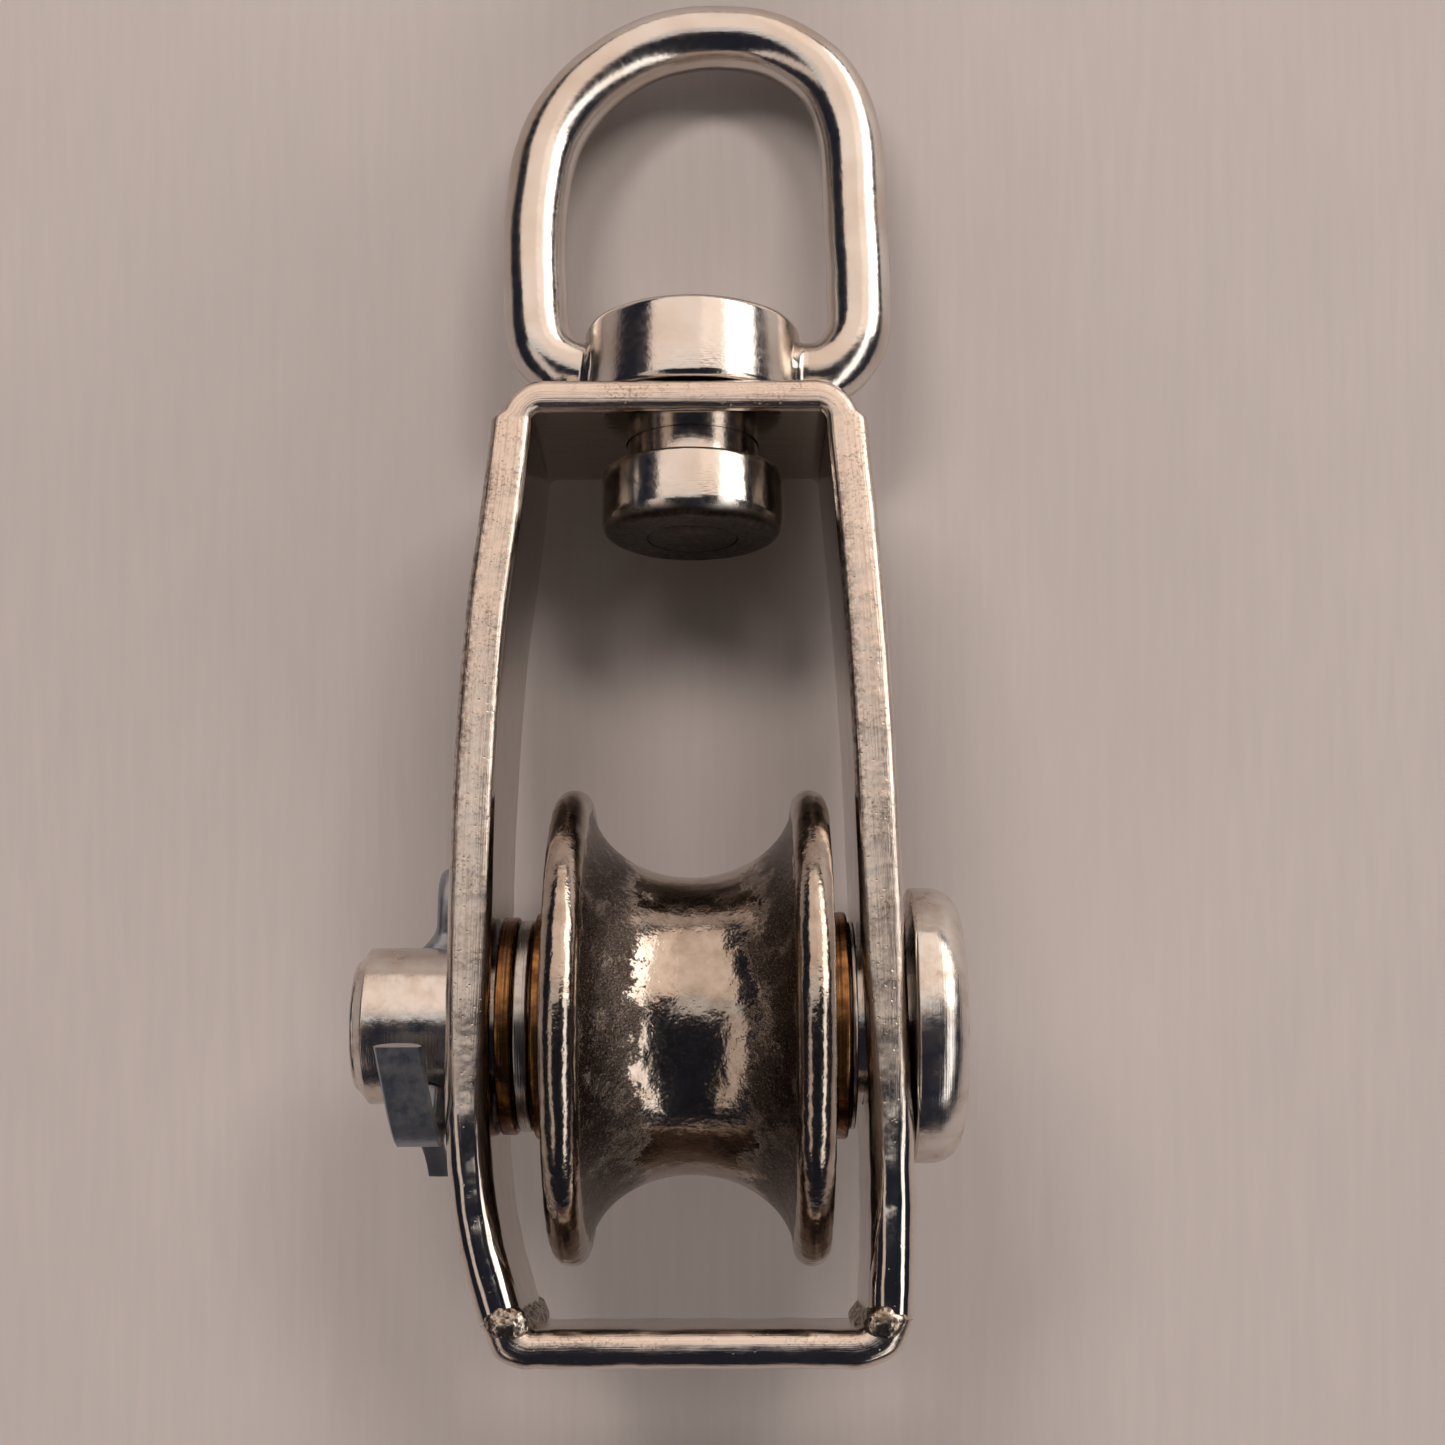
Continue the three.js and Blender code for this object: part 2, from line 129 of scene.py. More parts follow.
def loft(name, sections, closed=False, wobble=None):
    """A mesh through closed sections, given in the block's frame. An open row of sections is
    capped. wobble(point) moves a point along its normal."""
    sections = np.array(sections, float)
    count, around = sections.shape[:2]
    mesh = bmesh.new()
    lay = mesh.loops.layers.uv.new("lay")
    grid = []
    for section in sections:
        grid.append([mesh.verts.new(point) for point in section])
    length_u = np.zeros(count + 1)
    steps_u = np.linalg.norm(sections - np.roll(sections, -1, axis=0), axis=2).mean(axis=1)
    length_u[1:] = np.cumsum(steps_u)
    steps_v = np.linalg.norm(sections - np.roll(sections, -1, axis=1), axis=2).mean(axis=0)
    length_v = np.concatenate([[0.0], np.cumsum(steps_v)])
    for i in range(count if closed else count - 1):
        for j in range(around):
            following = (i + 1) % count
            beside = (j + 1) % around
            corners = [grid[i][j], grid[following][j], grid[following][beside], grid[i][beside]]
            face = mesh.faces.new(corners)
            spots = [(i, j), (i + 1, j), (i + 1, j + 1), (i, j + 1)]
            for loop, (u, v) in zip(face.loops, spots):
                loop[lay].uv = (length_u[u], length_v[v])
    if not closed:
        mesh.faces.new(grid[0])
        mesh.faces.new(grid[-1][::-1])
    bmesh.ops.remove_doubles(mesh, verts=mesh.verts, dist=1e-5)
    bmesh.ops.recalc_face_normals(mesh, faces=mesh.faces)
    mesh.normal_update()
    if wobble:
        moves = [vertex.normal * wobble(vertex.co) for vertex in mesh.verts]
        for vertex, move in zip(mesh.verts, moves):
            vertex.co += move
    data = bpy.data.meshes.new(name)
    mesh.to_mesh(data)
    mesh.free()
    data.transform(BLOCK)
    piece = bpy.data.objects.new(name, data)
    bpy.context.scene.collection.objects.link(piece)
    return piece


def turned(name, profile, segments, axis="X", wobble=None):
    """A profile of (height, radius) turned about the block's X or Y axis. The profile closes
    on itself, or starts and ends on the axis."""
    heights = np.array([height for height, radius in profile])
    radii = np.array([radius for height, radius in profile])
    sections = []
    for angle in np.linspace(0, 2 * math.pi, segments, endpoint=False):
        across = radii * math.cos(angle)
        up = radii * math.sin(angle)
        if axis == "X":
            sections.append(np.stack([heights, across, up], axis=1))
        else:
            sections.append(np.stack([across, heights, up], axis=1))
    return loft(name, sections, closed=True, wobble=wobble)


def cut(piece, *cutters):
    """Cuts other pieces out of a piece, and removes them."""
    for cutter in cutters:
        change = piece.modifiers.new("cut", "BOOLEAN")
        change.operation = "DIFFERENCE"
        change.solver = "EXACT"
        change.object = cutter
        apply_modifiers(piece)
        bpy.data.objects.remove(cutter)


def join(piece, *others):
    """Joins other closed pieces to a piece as one solid, and removes them."""
    for other in others:
        change = piece.modifiers.new("join", "BOOLEAN")
        change.operation = "UNION"
        change.solver = "EXACT"
        change.object = other
        apply_modifiers(piece)
        bpy.data.objects.remove(other)


def apply_modifiers(piece):
    graph = bpy.context.evaluated_depsgraph_get()
    graph.update()
    data = bpy.data.meshes.new_from_object(piece.evaluated_get(graph))
    piece.modifiers.clear()
    piece.data = data


def mark(piece, name, rule):
    """Gives each of a piece's points a value between 0 and 1 for its material."""
    values = [rule(BLOCK_INVERSE @ vertex.co) for vertex in piece.data.vertices]
    piece.data.attributes.new(name, "FLOAT", "POINT").data.foreach_set("value", values)


def finish_piece(piece, body, material, nodes=(), sharp_degrees=38):
    """Shading, material, body and slot of a finished piece."""
    piece.data.polygons.foreach_set("use_smooth", [True] * len(piece.data.polygons))
    piece.data.set_sharp_from_angle(angle=math.radians(sharp_degrees))
    piece.data.materials.clear()
    piece.data.materials.append(material)
    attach(piece, body)
    if nodes:
        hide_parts(*nodes)
    return piece


def ripple(size, scale, seed=0.0):
    """A smooth random height of about +-size, for a point in millimetres."""
    offset = Vector((seed, seed * 1.7, seed * 2.3))

    def height(point):
        return size * noise.noise(Vector(point) * scale + offset)

    return height


# ---------------------------------------------------------------------------------------------
# Materials
# ---------------------------------------------------------------------------------------------


class Surface:
    """A metallic material being built from nodes."""

    def __init__(self, name, metallic=1.0):
        self.material = bpy.data.materials.new(name)
        self.material.use_nodes = True
        self.tree = self.material.node_tree
        self.shader = self.tree.nodes["Principled BSDF"]
        self.shader.inputs["Metallic"].default_value = metallic

    def node(self, kind, settings=None, **inputs):
        made = self.tree.nodes.new(kind)
        for key, value in (settings or {}).items():
            setattr(made, key, value)
        for key, value in inputs.items():
            self.feed(made.inputs[key.replace("_", " ")], value)
        return made

    def feed(self, socket, value):
        if isinstance(value, bpy.types.NodeSocket):
            self.tree.links.new(value, socket)
        else:
            socket.default_value = value

    def math(self, operation, first, second=0.0):
        made = self.tree.nodes.new("ShaderNodeMath")
        made.operation = operation
        self.feed(made.inputs[0], first)
        self.feed(made.inputs[1], second)
        return made.outputs[0]

    def place(self, scale=(1000.0, 1000.0, 1000.0)):
        """Object coordinates, in millimetres unless scaled otherwise."""
        source = self.node("ShaderNodeTexCoord").outputs["Object"]
        return self.node("ShaderNodeMapping", Vector=source, Scale=scale).outputs["Vector"]

    def lay(self, scale=(1.0, 1.0, 1.0)):
        """Distances along and around the piece, in millimetres."""
        source = self.node("ShaderNodeUVMap", {"uv_map": "lay"}).outputs["UV"]
        return self.node("ShaderNodeMapping", Vector=source, Scale=scale).outputs["Vector"]

    def mark(self, name):
        return self.node("ShaderNodeAttribute", {"attribute_name": name}).outputs["Fac"]

    def noise(self, vector, scale, detail=3.0, roughness=0.55):
        made = self.node(
            "ShaderNodeTexNoise", Vector=vector, Scale=scale, Detail=detail, Roughness=roughness
        )
        return made.outputs["Fac"]

    def cells(self, vector, scale):
        made = self.node("ShaderNodeTexVoronoi", Vector=vector, Scale=scale)
        return made.outputs["Distance"]

    def span(self, value, low, high, to_low=0.0, to_high=1.0):
        """Maps low..high to to_low..to_high, clamped."""
        made = self.node("ShaderNodeMapRange", Value=value)
        made.clamp = True
        made.inputs["From Min"].default_value = low
        made.inputs["From Max"].default_value = high
        made.inputs["To Min"].default_value = to_low
        made.inputs["To Max"].default_value = to_high
        return made.outputs["Result"]

    def tint(self, factor, first, second):
        made = self.tree.nodes.new("ShaderNodeMix")
        made.data_type = "RGBA"
        self.feed(made.inputs[0], factor)
        for socket, value in ((made.inputs[6], first), (made.inputs[7], second)):
            linked = isinstance(value, bpy.types.NodeSocket)
            self.feed(socket, value if linked else (*value, 1.0))
        return made.outputs[2]

    def bump(self, height, distance_mm, strength=1.0, under=None):
        made = self.node("ShaderNodeBump", Height=height, Strength=strength)
        made.inputs["Distance"].default_value = distance_mm * MM
        if under is not None:
            self.feed(made.inputs["Normal"], under)
        return made.outputs["Normal"]

    def done(self, colour, rough, normal):
        self.feed(self.shader.inputs["Base Color"], colour)
        self.feed(self.shader.inputs["Roughness"], rough)
        self.feed(self.shader.inputs["Normal"], normal)
        return self.material


STEEL = (0.68, 0.64, 0.60)
STEEL_WARM = (0.58, 0.50, 0.43)
STEEL_TAN = (0.50, 0.41, 0.335)
STEEL_DARK = (0.30, 0.27, 0.25)
CAST_BRIGHT = (0.47, 0.40, 0.34)
CAST_DULL = (0.36, 0.29, 0.235)
GRIME = (0.10, 0.075, 0.055)
PAINTED_END_SHADE = (0.035, 0.027, 0.023)
RUST = (0.44, 0.31, 0.21)
SIDE_SHADE = (0.085, 0.050, 0.032)
GROUND_WARM = (0.74, 0.62, 0.535)
SKIN_DARK = (0.050, 0.037, 0.032)
SKIN_PALE = (0.19, 0.145, 0.120)
DRAWN_BLUE = (0.30, 0.335, 0.39)
DRAWN_GREY = (0.42, 0.42, 0.43)
TURNED_GREY = (0.50, 0.47, 0.44)
# Bronze tones: tarnish, and darker still as painted shade for the shaded gap between the cheeks and
# the sheave.
BRONZE_BRIGHT = (0.40, 0.19, 0.065)
BRONZE_DULL = (0.15, 0.062, 0.022)
BRONZE_BLACK = (0.045, 0.028, 0.02)
TABLE_DARK = (0.527, 0.483, 0.463)
TABLE_PALE = (0.563, 0.513, 0.491)
TABLE_CLOUD = (0.505, 0.458, 0.440)


def mirror_steel():
    """Polished stainless of the swivel eye: long soft waves, faint hairlines, a few stains. The
    button's sawn lower end is dull, and its colour is darkened nearly to black as painted shade for
    the shade under the bridge."""
    s = Surface("mirror_steel")
    mm = s.place()
    broad = s.noise(mm, 0.16, detail=2.0)
    fine = s.noise(mm, 2.6, detail=4.0)
    hair = s.noise(s.place((300.0, 9000.0, 9000.0)), 1.0, detail=2.0)
    sawn_end_and_shade = s.mark("sawn_end_and_shade")
    colour = s.tint(s.span(broad, 0.40, 0.68), STEEL, STEEL_WARM)
    # Painted shade: the sawn lower end, in the shade under the bridge, is tinted nearly black.
    colour = s.tint(s.math("MULTIPLY", sawn_end_and_shade, s.span(fine, 0.3, 0.7, 0.90, 0.99)), colour, PAINTED_END_SHADE)
    rough = s.math("ADD", s.span(fine, 0.3, 0.75, 0.09, 0.20), s.span(broad, 0.35, 0.7, 0.0, 0.08))
    rough = s.math("ADD", rough, s.math("MULTIPLY", sawn_end_and_shade, 0.22))
    normal = s.bump(hair, 0.006)
    normal = s.bump(fine, 0.012, under=normal)
    return s.done(colour, rough, normal)


def strap_steel():
    """Bent flat bar: ground front edges with lengthwise lines, buffed bright elsewhere."""
    s = Surface("strap_steel")
    mm = s.place()
    ground = s.mark("ground")
    patch = s.noise(mm, 0.35, detail=3.0)
    lines = s.noise(s.lay((0.10, 9.0, 1.0)), 1.0, detail=4.0, roughness=0.6)
    long_lines = s.noise(s.lay((0.05, 3.6, 1.0)), 1.0, detail=3.0)
    pits = s.span(s.cells(mm, 2.1), 0.02, 0.17)
    specks = s.span(s.noise(mm, 5.0, detail=3.0), 0.52, 0.66)
    specks = s.math("MULTIPLY", specks, s.span(patch, 0.42, 0.62))
    stains = s.math("MULTIPLY", s.span(lines, 0.50, 0.68), s.span(patch, 0.35, 0.65))
    colour = s.tint(s.span(long_lines, 0.35, 0.70), STEEL, STEEL_WARM)
    colour = s.tint(s.math("MULTIPLY", ground, 0.7), colour, GROUND_WARM)
    colour = s.tint(s.math("MULTIPLY", stains, s.span(ground, 0.0, 1.0, 0.15, 0.85)), colour, RUST)
    colour = s.tint(s.math("MULTIPLY", specks, s.span(ground, 0.0, 1.0, 0.25, 0.55)), colour, GRIME)
    # Painted shade: dark brown patches on the -X side of the ground edges, the side turned away
    # from the brighter lamps.
    shade_patches = s.span(s.noise(mm, 2.2, detail=4.0, roughness=0.65), 0.42, 0.60)
    side_shaded = s.math("MULTIPLY", shade_patches, s.span(s.mark("darkening"), 0.0, 1.0, 0.0, 0.7))
    colour = s.tint(side_shaded, colour, SIDE_SHADE)
    polished = s.span(patch, 0.3, 0.7, 0.05, 0.13)
    matte = s.span(lines, 0.3, 0.7, 0.17, 0.28)
    rough = s.node("ShaderNodeMix", {"data_type": "FLOAT"}, Factor=ground)
    s.feed(rough.inputs[2], polished)
    s.feed(rough.inputs[3], matte)
    normal = s.bump(s.math("MULTIPLY", lines, s.span(ground, 0.0, 1.0, 0.20, 1.0)), 0.026)
    pitted = s.math("MULTIPLY", pits, s.span(ground, 0.0, 1.0, 0.3, 1.0))
    normal = s.bump(pitted, 0.02, under=normal)
    uneven = s.math("MULTIPLY", patch, s.span(ground, 0.0, 1.0, 0.4, 1.0))
    normal = s.bump(uneven, 0.10, under=normal)
    return s.done(colour, rough.outputs[0], normal)


def sheave_steel():
    """Cast stainless: bright rims and a polished band in the groove, a grainy skin between."""
    s = Surface("sheave_steel")
    mm = s.place()
    zone = s.mark("satin")
    edge = s.noise(mm, 0.55, detail=3.0)
    crumbs = s.noise(mm, 4.5, detail=4.0, roughness=0.7)
    wander = s.span(edge, 0.3, 0.7, -0.55, 0.45)
    border = s.math("ADD", wander, s.span(crumbs, 0.3, 0.7, -0.35, 0.35))
    satin = s.span(s.math("ADD", zone, border), 0.30, 0.80)
    satin = s.math("MULTIPLY", satin, s.span(zone, 0.0, 0.12))
    grain = s.noise(mm, 6.5, detail=4.0, roughness=0.7)
    pits = s.span(s.cells(mm, 3.4), 0.05, 0.32)
    patch = s.noise(mm, 0.8, detail=3.0)
    skin = s.tint(s.span(grain, 0.46, 0.66), SKIN_DARK, SKIN_PALE)
    colour = s.tint(s.span(patch, 0.40, 0.66), CAST_BRIGHT, CAST_DULL)
    colour = s.tint(s.math("MULTIPLY", satin, 0.92), colour, skin)
    rough = s.node("ShaderNodeMix", {"data_type": "FLOAT"}, Factor=satin)
    s.feed(rough.inputs[2], s.span(crumbs, 0.3, 0.75, 0.09, 0.25))
    s.feed(rough.inputs[3], s.span(grain, 0.3, 0.7, 0.17, 0.30))
    normal = s.bump(s.math("MULTIPLY", grain, s.span(satin, 0.0, 1.0, 0.04, 1.0)), 0.055)
    pitted = s.math("MULTIPLY", pits, s.span(satin, 0.0, 1.0, 0.15, 1.0))
    normal = s.bump(pitted, 0.035, under=normal)
    normal = s.bump(patch, 0.07, under=normal)
    return s.done(colour, rough.outputs[0], normal)


def pin_steel():
    """Turned and buffed stainless of the axle and split pin, rubbed and a little stained."""
    s = Surface("pin_steel")
    mm = s.place()
    rings = s.noise(s.lay((0.12, 11.0, 1.0)), 1.0, detail=3.0)
    blotch = s.noise(mm, 0.7, detail=4.0)
    colour = s.tint(s.span(blotch, 0.42, 0.7), STEEL, STEEL_WARM)
    colour = s.tint(s.span(blotch, 0.64, 0.74, 0.0, 0.6), colour, STEEL_DARK)
    rough = s.span(blotch, 0.3, 0.7, 0.13, 0.30)
    normal = s.bump(rings, 0.014)
    normal = s.bump(blotch, 0.05, under=normal)
    return s.done(colour, rough, normal)


def split_steel():
    """Half-round wire with a drawn, dull skin."""
    s = Surface("split_steel")
    mm = s.place()
    lines = s.noise(s.lay((0.2, 8.0, 1.0)), 1.0, detail=3.0)
    blotch = s.noise(mm, 1.1, detail=4.0)
    colour = s.tint(s.span(blotch, 0.4, 0.7), DRAWN_BLUE, DRAWN_GREY)
    rough = s.span(blotch, 0.3, 0.7, 0.34, 0.48)
    normal = s.bump(lines, 0.020)
    normal = s.bump(s.noise(mm, 5.0, detail=3.0), 0.018, under=normal)
    return s.done(colour, rough, normal)


def washer_steel():
    """Plain turned washers with circular tool marks."""
    s = Surface("washer_steel")
    rings = s.noise(s.lay((0.06, 9.0, 1.0)), 1.0, detail=3.0)
    darkening = s.noise(s.place(), 1.3, detail=4.0)
    colour = s.tint(s.span(darkening, 0.45, 0.7), TURNED_GREY, STEEL_DARK)
    rough = s.span(rings, 0.3, 0.7, 0.16, 0.32)
    return s.done(colour, rough, s.bump(rings, 0.03))


def bronze():
    """Tarnished bronze of the bushes and the thrust washer, with brown and black patches; its
    colours are also darkened as painted shade for the shaded gap between the cheeks and the sheave.
    """
    s = Surface("bronze")
    mm = s.place()
    rings = s.noise(s.lay((0.08, 7.0, 1.0)), 1.0, detail=4.0)
    patch = s.noise(mm, 0.8, detail=4.0)
    colour = s.tint(s.span(patch, 0.38, 0.62), BRONZE_BRIGHT, BRONZE_DULL)
    colour = s.tint(s.span(rings, 0.48, 0.66), colour, BRONZE_BLACK)
    rough = s.span(patch, 0.3, 0.7, 0.20, 0.36)
    normal = s.bump(rings, 0.03)
    normal = s.bump(patch, 0.04, under=normal)
    return s.done(colour, rough, normal)


def weld_metal():
    """Filler metal of the frame's welds: lumpy, scorched and only roughly buffed."""
    s = Surface("weld_metal")
    mm = s.place()
    lumps = s.noise(mm, 1.1, detail=2.0, roughness=0.5)
    soot = s.noise(mm, 3.1, detail=3.0)
    colour = s.tint(s.span(lumps, 0.4, 0.62), STEEL_TAN, STEEL_WARM)
    colour = s.tint(s.span(soot, 0.44, 0.60, 0.0, 0.9), colour, GRIME)
    rough = s.span(soot, 0.35, 0.7, 0.16, 0.40)
    normal = s.bump(lumps, 0.30)
    normal = s.bump(soot, 0.03, under=normal)
    return s.done(colour, rough, normal)


def floor_paint():
    """Pale warm table top with a faint brushed grain."""
    s = Surface("floor_paint", metallic=0.0)
    grain = s.noise(s.place((1400.0, 90.0, 900.0)), 1.0, detail=3.0)
    cloud = s.noise(s.place((45.0, 28.0, 40.0)), 1.0, detail=3.0)
    colour = s.tint(s.span(grain, 0.3, 0.7), TABLE_DARK, TABLE_PALE)
    colour = s.tint(s.span(cloud, 0.35, 0.65, 0.0, 0.45), colour, TABLE_CLOUD)
    rough = s.span(grain, 0.3, 0.7, 0.42, 0.50)
    return s.done(colour, rough, s.bump(grain, 0.01))


MIRROR = mirror_steel()
STRAP = strap_steel()
CAST = sheave_steel()
PIN = pin_steel()
SPLIT = split_steel()
WASHER = washer_steel()
BRONZE = bronze()
WELD = weld_metal()

# ---------------------------------------------------------------------------------------------
# Frame: strap, crossbar and welds
# ---------------------------------------------------------------------------------------------
STRAP_HALF = 1.35
BRIDGE_OUTER = STRAP_HIGH.y
BRIDGE_INNER = BRIDGE_OUTER - 2.1
BEND_RADIUS = 3.0
BEND_START = BRIDGE_OUTER - BEND_RADIUS
INNER_BEND = 0.6
BEND_STEP = 0.5
LEFT_CHEEK = [
    (-11.55, 38), (-12.15, 32), (-12.85, 26), (-13.3, 19), (-13.52, 12),
    (-13.56, 4), (-13.56, -4), (-13.28, -9), (-12.55, -13.5), (-11.25, -17.75),
]
RIGHT_CHEEK = [
    (10.1, 38), (10.62, 32), (11.05, 26), (11.42, 19), (11.72, 10),
    (12, 1), (12.2, -6), (12.2, -13), (11.95, -17.8),
]
FRAME_EDGE_TOP = 0.55
FRAME_EDGE_LOW = 1.10


def cheek_pairs(points, side):
    """(outer, inner) points down a cheek. Side is -1 left, +1 right."""
    line = curve_through(points, 9)
    along = tangents_of(line)
    pairs = []
    for (x, y), (tx, ty) in zip(line, along):
        across = np.array([-ty, tx])
        outer = np.array([x, y]) + side * across * STRAP_HALF
        inner = np.array([x, y]) - side * across * STRAP_HALF
        pairs.append((outer, inner))
    return pairs


def bend_pairs(outer_x, inner_x, side):
    """(outer, inner) points round a top bend, from the cheek to the bridge. The bar was thinned
    by the bending, so the outer face steps out again where the cheek begins."""
    radius = BEND_RADIUS
    middle_x = outer_x - side * (radius + BEND_STEP)
    outer_arc = []
    for angle in np.linspace(0, math.pi / 2, 23):
        step = BEND_STEP * (1 - ease(0.10, 0.34, angle))
        outer_x_here = middle_x + side * (radius * math.cos(angle) + step)
        outer_arc.append((outer_x_here, BEND_START + radius * math.sin(angle)))
    inner_arc = arc(inner_x - side * INNER_BEND, BRIDGE_INNER - INNER_BEND, side * INNER_BEND,
                    INNER_BEND, 0, math.pi / 2, 22)
    return [(np.array(a), np.array(b)) for a, b in zip(outer_arc, inner_arc)]


EDGE_CROWN = 0.14
TALL_SHARES = (0.03, 0.08, 0.2, 0.35, 0.5, 0.65, 0.8, 0.92, 0.97)


def bar_section(outer, inner, edge):
    """A rounded rectangle across the bar, from its outer to its inner point."""
    middle = (outer + inner) / 2
    half = np.linalg.norm(outer - inner) / 2
    across = (outer - inner) / (2 * half)
    edge = min(edge, half * 0.96)
    flat = half - edge
    tall = HALF_WIDTH - edge
    loop = []
    corners = [(flat, tall, 0.0), (-flat, tall, 0.5), (-flat, -tall, 1.0), (flat, -tall, 1.5)]
    for number, (a, b, quarter) in enumerate(corners):
        loop += arc(a, b, edge, edge, quarter * math.pi, (quarter + 0.5) * math.pi, 7)
        next_a, next_b, next_quarter = corners[(number + 1) % 4]
        start = loop[-1]
        end_angle = next_quarter * math.pi
        end = (next_a + edge * math.cos(end_angle), next_b + edge * math.sin(end_angle))
        shares = (0.33, 0.67) if number in (0, 2) else TALL_SHARES
        for share in shares:
            loop.append(between(start, end, share))
    crowned = [(a, b * (1 - EDGE_CROWN / HALF_WIDTH * (a / half) ** 2)) for a, b in loop]
    return [(*(middle + across * a), b) for a, b in crowned]


def ground_mark(point):
    """1 on the ground front and back edges of the upper frame, 0 where the bar is buffed."""
    edge_on = ease(HALF_WIDTH - 0.4, HALF_WIDTH - 0.15, abs(point[2]))
    return edge_on * ease(-9.5, -2.5, point[1])


def across_cheek(point):
    """Distance of a point from the nearer cheek's middle line, positive towards +X."""
    line = LEFT_CHEEK if point[0] < 0 else RIGHT_CHEEK
    heights = [y for x, y in line[::-1]]
    return point[0] - np.interp(point[1], heights, [x for x, y in line[::-1]])


def side_shade_mark(point):
    """1 on the side of the ground edges that is turned to -X, away from the brighter lamps; there
    painted shade darkens them in patches.
    """
    edge_on = ease(HALF_WIDTH - 0.7, HALF_WIDTH - 0.35, abs(point[2]))
    height = ease(6.0, 16.0, point[1]) * (1 - ease(33.0, 37.0, point[1]))
    return edge_on * height * (1 - ease(-1.2, -0.1, across_cheek(point)))


def frame_wobble(point):
    lower = 1 - ease(-4.0, 16.0, point[1])
    size = 0.012 + 0.045 * lower
    return size * noise.noise(Vector(point) * 0.55) + 0.4 * size * noise.noise(Vector(point) * 1.7)


def edge_radius(y):
    return FRAME_EDGE_TOP + (FRAME_EDGE_LOW - FRAME_EDGE_TOP) * (1 - ease(-11.0, 5.0, y))


def round_hole(radius, low, high, axis, segments=96):
    """A cutter: a plain cylinder about the block's X or Y axis."""
    profile = [(low, 0.0), (low, radius), (high, radius), (high, 0.0)]
    return turned("cutter", profile, segments, axis=axis)


def frame_strap():
    left = cheek_pairs(LEFT_CHEEK, -1)
    right = cheek_pairs(RIGHT_CHEEK, 1)
    left_bend = bend_pairs(left[0][0][0], left[0][1][0], -1)
    right_bend = bend_pairs(right[0][0][0], right[0][1][0], 1)
    pairs = left[:0:-1] + left_bend
    start, end = left_bend[-1], right_bend[-1]
    for share in np.linspace(0, 1, 30)[1:-1]:
        pairs.append(between(start, end, share))
    pairs += right_bend[::-1] + right[1:]
    sections = []
    for outer, inner in pairs:
        sections.append(bar_section(outer, inner, edge_radius((outer[1] + inner[1]) / 2)))
    strap = loft("strap_bar", sections, wobble=frame_wobble)
    axle_hole = round_hole(AXLE_HOLE, -30, 30, "X")
    shank_hole = round_hole(SHANK_HOLE, BRIDGE_INNER - 4, BRIDGE_OUTER + 4, "Y")
    cut(strap, axle_hole, shank_hole)
    mark(strap, "ground", ground_mark)
    mark(strap, "darkening", side_shade_mark)
    finish_piece(strap, "frame", STRAP, ["frame_strap"])
    return left[-1], right[-1]


CROSSBAR_GRIND = 0.5
CROSSBAR_THICK = 2.3
CROSSBAR_EDGE = 0.9
ARM_GAP = 0.1
STRAIGHT_HALF = 8.6
STRAIGHT_STATIONS = 44


def frame_crossbar(left_end, right_end):
    """The closing bar: two short arms under the cheek ends and the straight bar between."""
    low_y = BAR_LOW.y
    inner_y = low_y + CROSSBAR_THICK
    left_outer, left_inner = [point + np.array([0.05, -ARM_GAP]) for point in left_end]
    right_outer, right_inner = [point + np.array([0.0, -ARM_GAP]) for point in right_end]
    low_left, low_right = (-STRAIGHT_HALF, low_y), (STRAIGHT_HALF, low_y)
    high_left, high_right = (-STRAIGHT_HALF, inner_y), (STRAIGHT_HALF, inner_y)
    outer_left = [left_outer, (-12.15, -18.7), (-11.5, -20.1), (-10.1, low_y), low_left]
    inner_left = [left_inner, (-9.85, -17.75), (-9.65, -18.25), (-9.2, inner_y), high_left]
    outer_right = [low_right, (10.4, low_y), (12.3, -19.9), (13.15, -18.4), right_outer]
    inner_right = [high_right, (9.7, inner_y), (10.2, -18.38), (10.5, -18.15), right_inner]
    outer_left, inner_left = curve_through(outer_left, 6), curve_through(inner_left, 6)
    outer_right, inner_right = curve_through(outer_right, 6), curve_through(inner_right, 6)
    pairs = list(zip(outer_left, inner_left))
    for share in np.linspace(0, 1, STRAIGHT_STATIONS)[1:-1]:
        x = outer_left[-1][0] + (outer_right[0][0] - outer_left[-1][0]) * share
        pairs.append((np.array([x, low_y]), np.array([x, inner_y])))
    pairs += list(zip(outer_right, inner_right))
    sections = []
    for outer, inner in pairs:
        sections.append(bar_section(np.array(outer), np.array(inner), CROSSBAR_EDGE))
    bar = loft("crossbar_bar", sections, wobble=frame_wobble)
    mark(bar, "ground", lambda point: CROSSBAR_GRIND)
    return finish_piece(bar, "frame", STRAP, ["frame_crossbar"])


WELD_INSET = 0.72
WELD_LUMP = 0.16
WELD_DRIFT = 0.14
WELD_CAP = ((0.0, 1.0), (0.35, 0.97), (0.62, 0.85), (0.80, 0.66), (0.90, 0.40), (0.95, 0.15))


